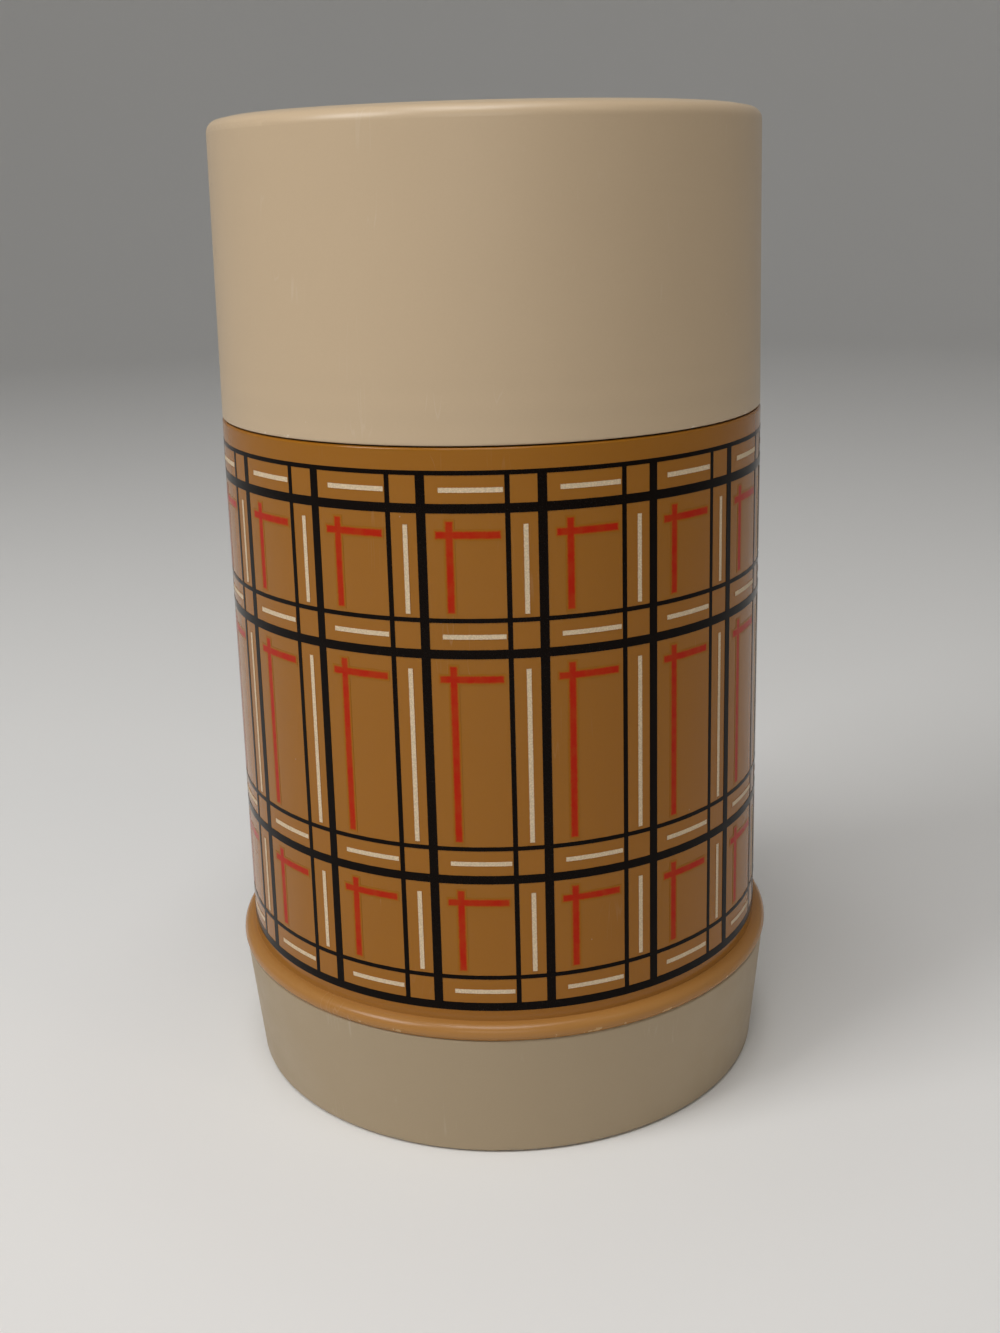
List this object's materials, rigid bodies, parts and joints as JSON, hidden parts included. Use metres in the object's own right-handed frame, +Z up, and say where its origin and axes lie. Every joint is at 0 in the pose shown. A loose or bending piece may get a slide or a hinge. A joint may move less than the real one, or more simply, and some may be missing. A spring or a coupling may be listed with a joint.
{
  "type": "vacuum flask",
  "caption": "Wide-mouth glass-lined vacuum flask with screw-on cup, screw stopper, printed jacket and screw-on base.",
  "frame": {"origin": "centre of the circle that the flask stands on, at table height", "axes": "+Z up along the flask's axis; -Y is the side shown first, +X to its right"},
  "size_m": [0.1068, 0.1068, 0.1801],
  "materials": {
    "cup_plastic": "satin",
    "jacket_plastic": "satin",
    "black_ink": "satin",
    "white_ink": "matte",
    "red_ink": "matte",
    "collar_plastic": "satin",
    "base_plastic": "satin",
    "stopper_plastic": "satin",
    "seal_rubber": "matte",
    "cushion_rubber": "matte",
    "silvered_glass": "silvered behind clear glass",
    "spacer_pad": "fibrous",
    "foam": "foamed"
  },
  "bodies": {
    "base": {"base_cup": "base_plastic", "bottom_cushion": "cushion_rubber", "tip_guard": "cushion_rubber", "outer_glass": "silvered_glass", "inner_glass": "silvered_glass", "glass_spacers": "spacer_pad"},
    "neck_seal": {"neck_seal": "seal_rubber"},
    "jacket": {"jacket": "jacket_plastic", "neck_collar": "collar_plastic"},
    "stopper_seal": {"stopper_seal": "seal_rubber"},
    "stopper": {"stopper_plug": "stopper_plastic", "stopper_foam": "foam", "stopper_lid": "stopper_plastic"},
    "cup_seal": {"cup_seal": "seal_rubber"},
    "cup": {"cup": "cup_plastic"}
  },
  "joints": [
    {"name": "jacket_rise", "type": "slide", "parent": "base", "child": "neck_seal", "axis": [0, 0, 1], "range_m": [0, 0.12]},
    {"name": "jacket_turn", "type": "hinge", "parent": "neck_seal", "child": "jacket", "pos_m": [0, 0, 0], "axis": [0, 0, 1], "range_deg": [0, 3600]},
    {"name": "stopper_rise", "type": "slide", "parent": "jacket", "child": "stopper_seal", "axis": [0, 0, 1], "range_m": [0, 0.024]},
    {"name": "stopper_turn", "type": "hinge", "parent": "stopper_seal", "child": "stopper", "pos_m": [0, 0, 0], "axis": [0, 0, 1], "range_deg": [0, 1080]},
    {"name": "cup_rise", "type": "slide", "parent": "jacket", "child": "cup_seal", "axis": [0, 0, 1], "range_m": [0, 0.06]},
    {"name": "cup_turn", "type": "hinge", "parent": "cup_seal", "child": "cup", "pos_m": [0, 0, 0], "axis": [0, 0, 1], "range_deg": [0, 1800]}
  ],
  "couplings": [
    {"joint": "jacket_rise", "follows": "jacket_turn", "m_per_rad": 0.0019099},
    {"joint": "stopper_rise", "follows": "stopper_turn", "m_per_rad": 0.0012732},
    {"joint": "cup_rise", "follows": "cup_turn", "m_per_rad": 0.0019099}
  ]
}
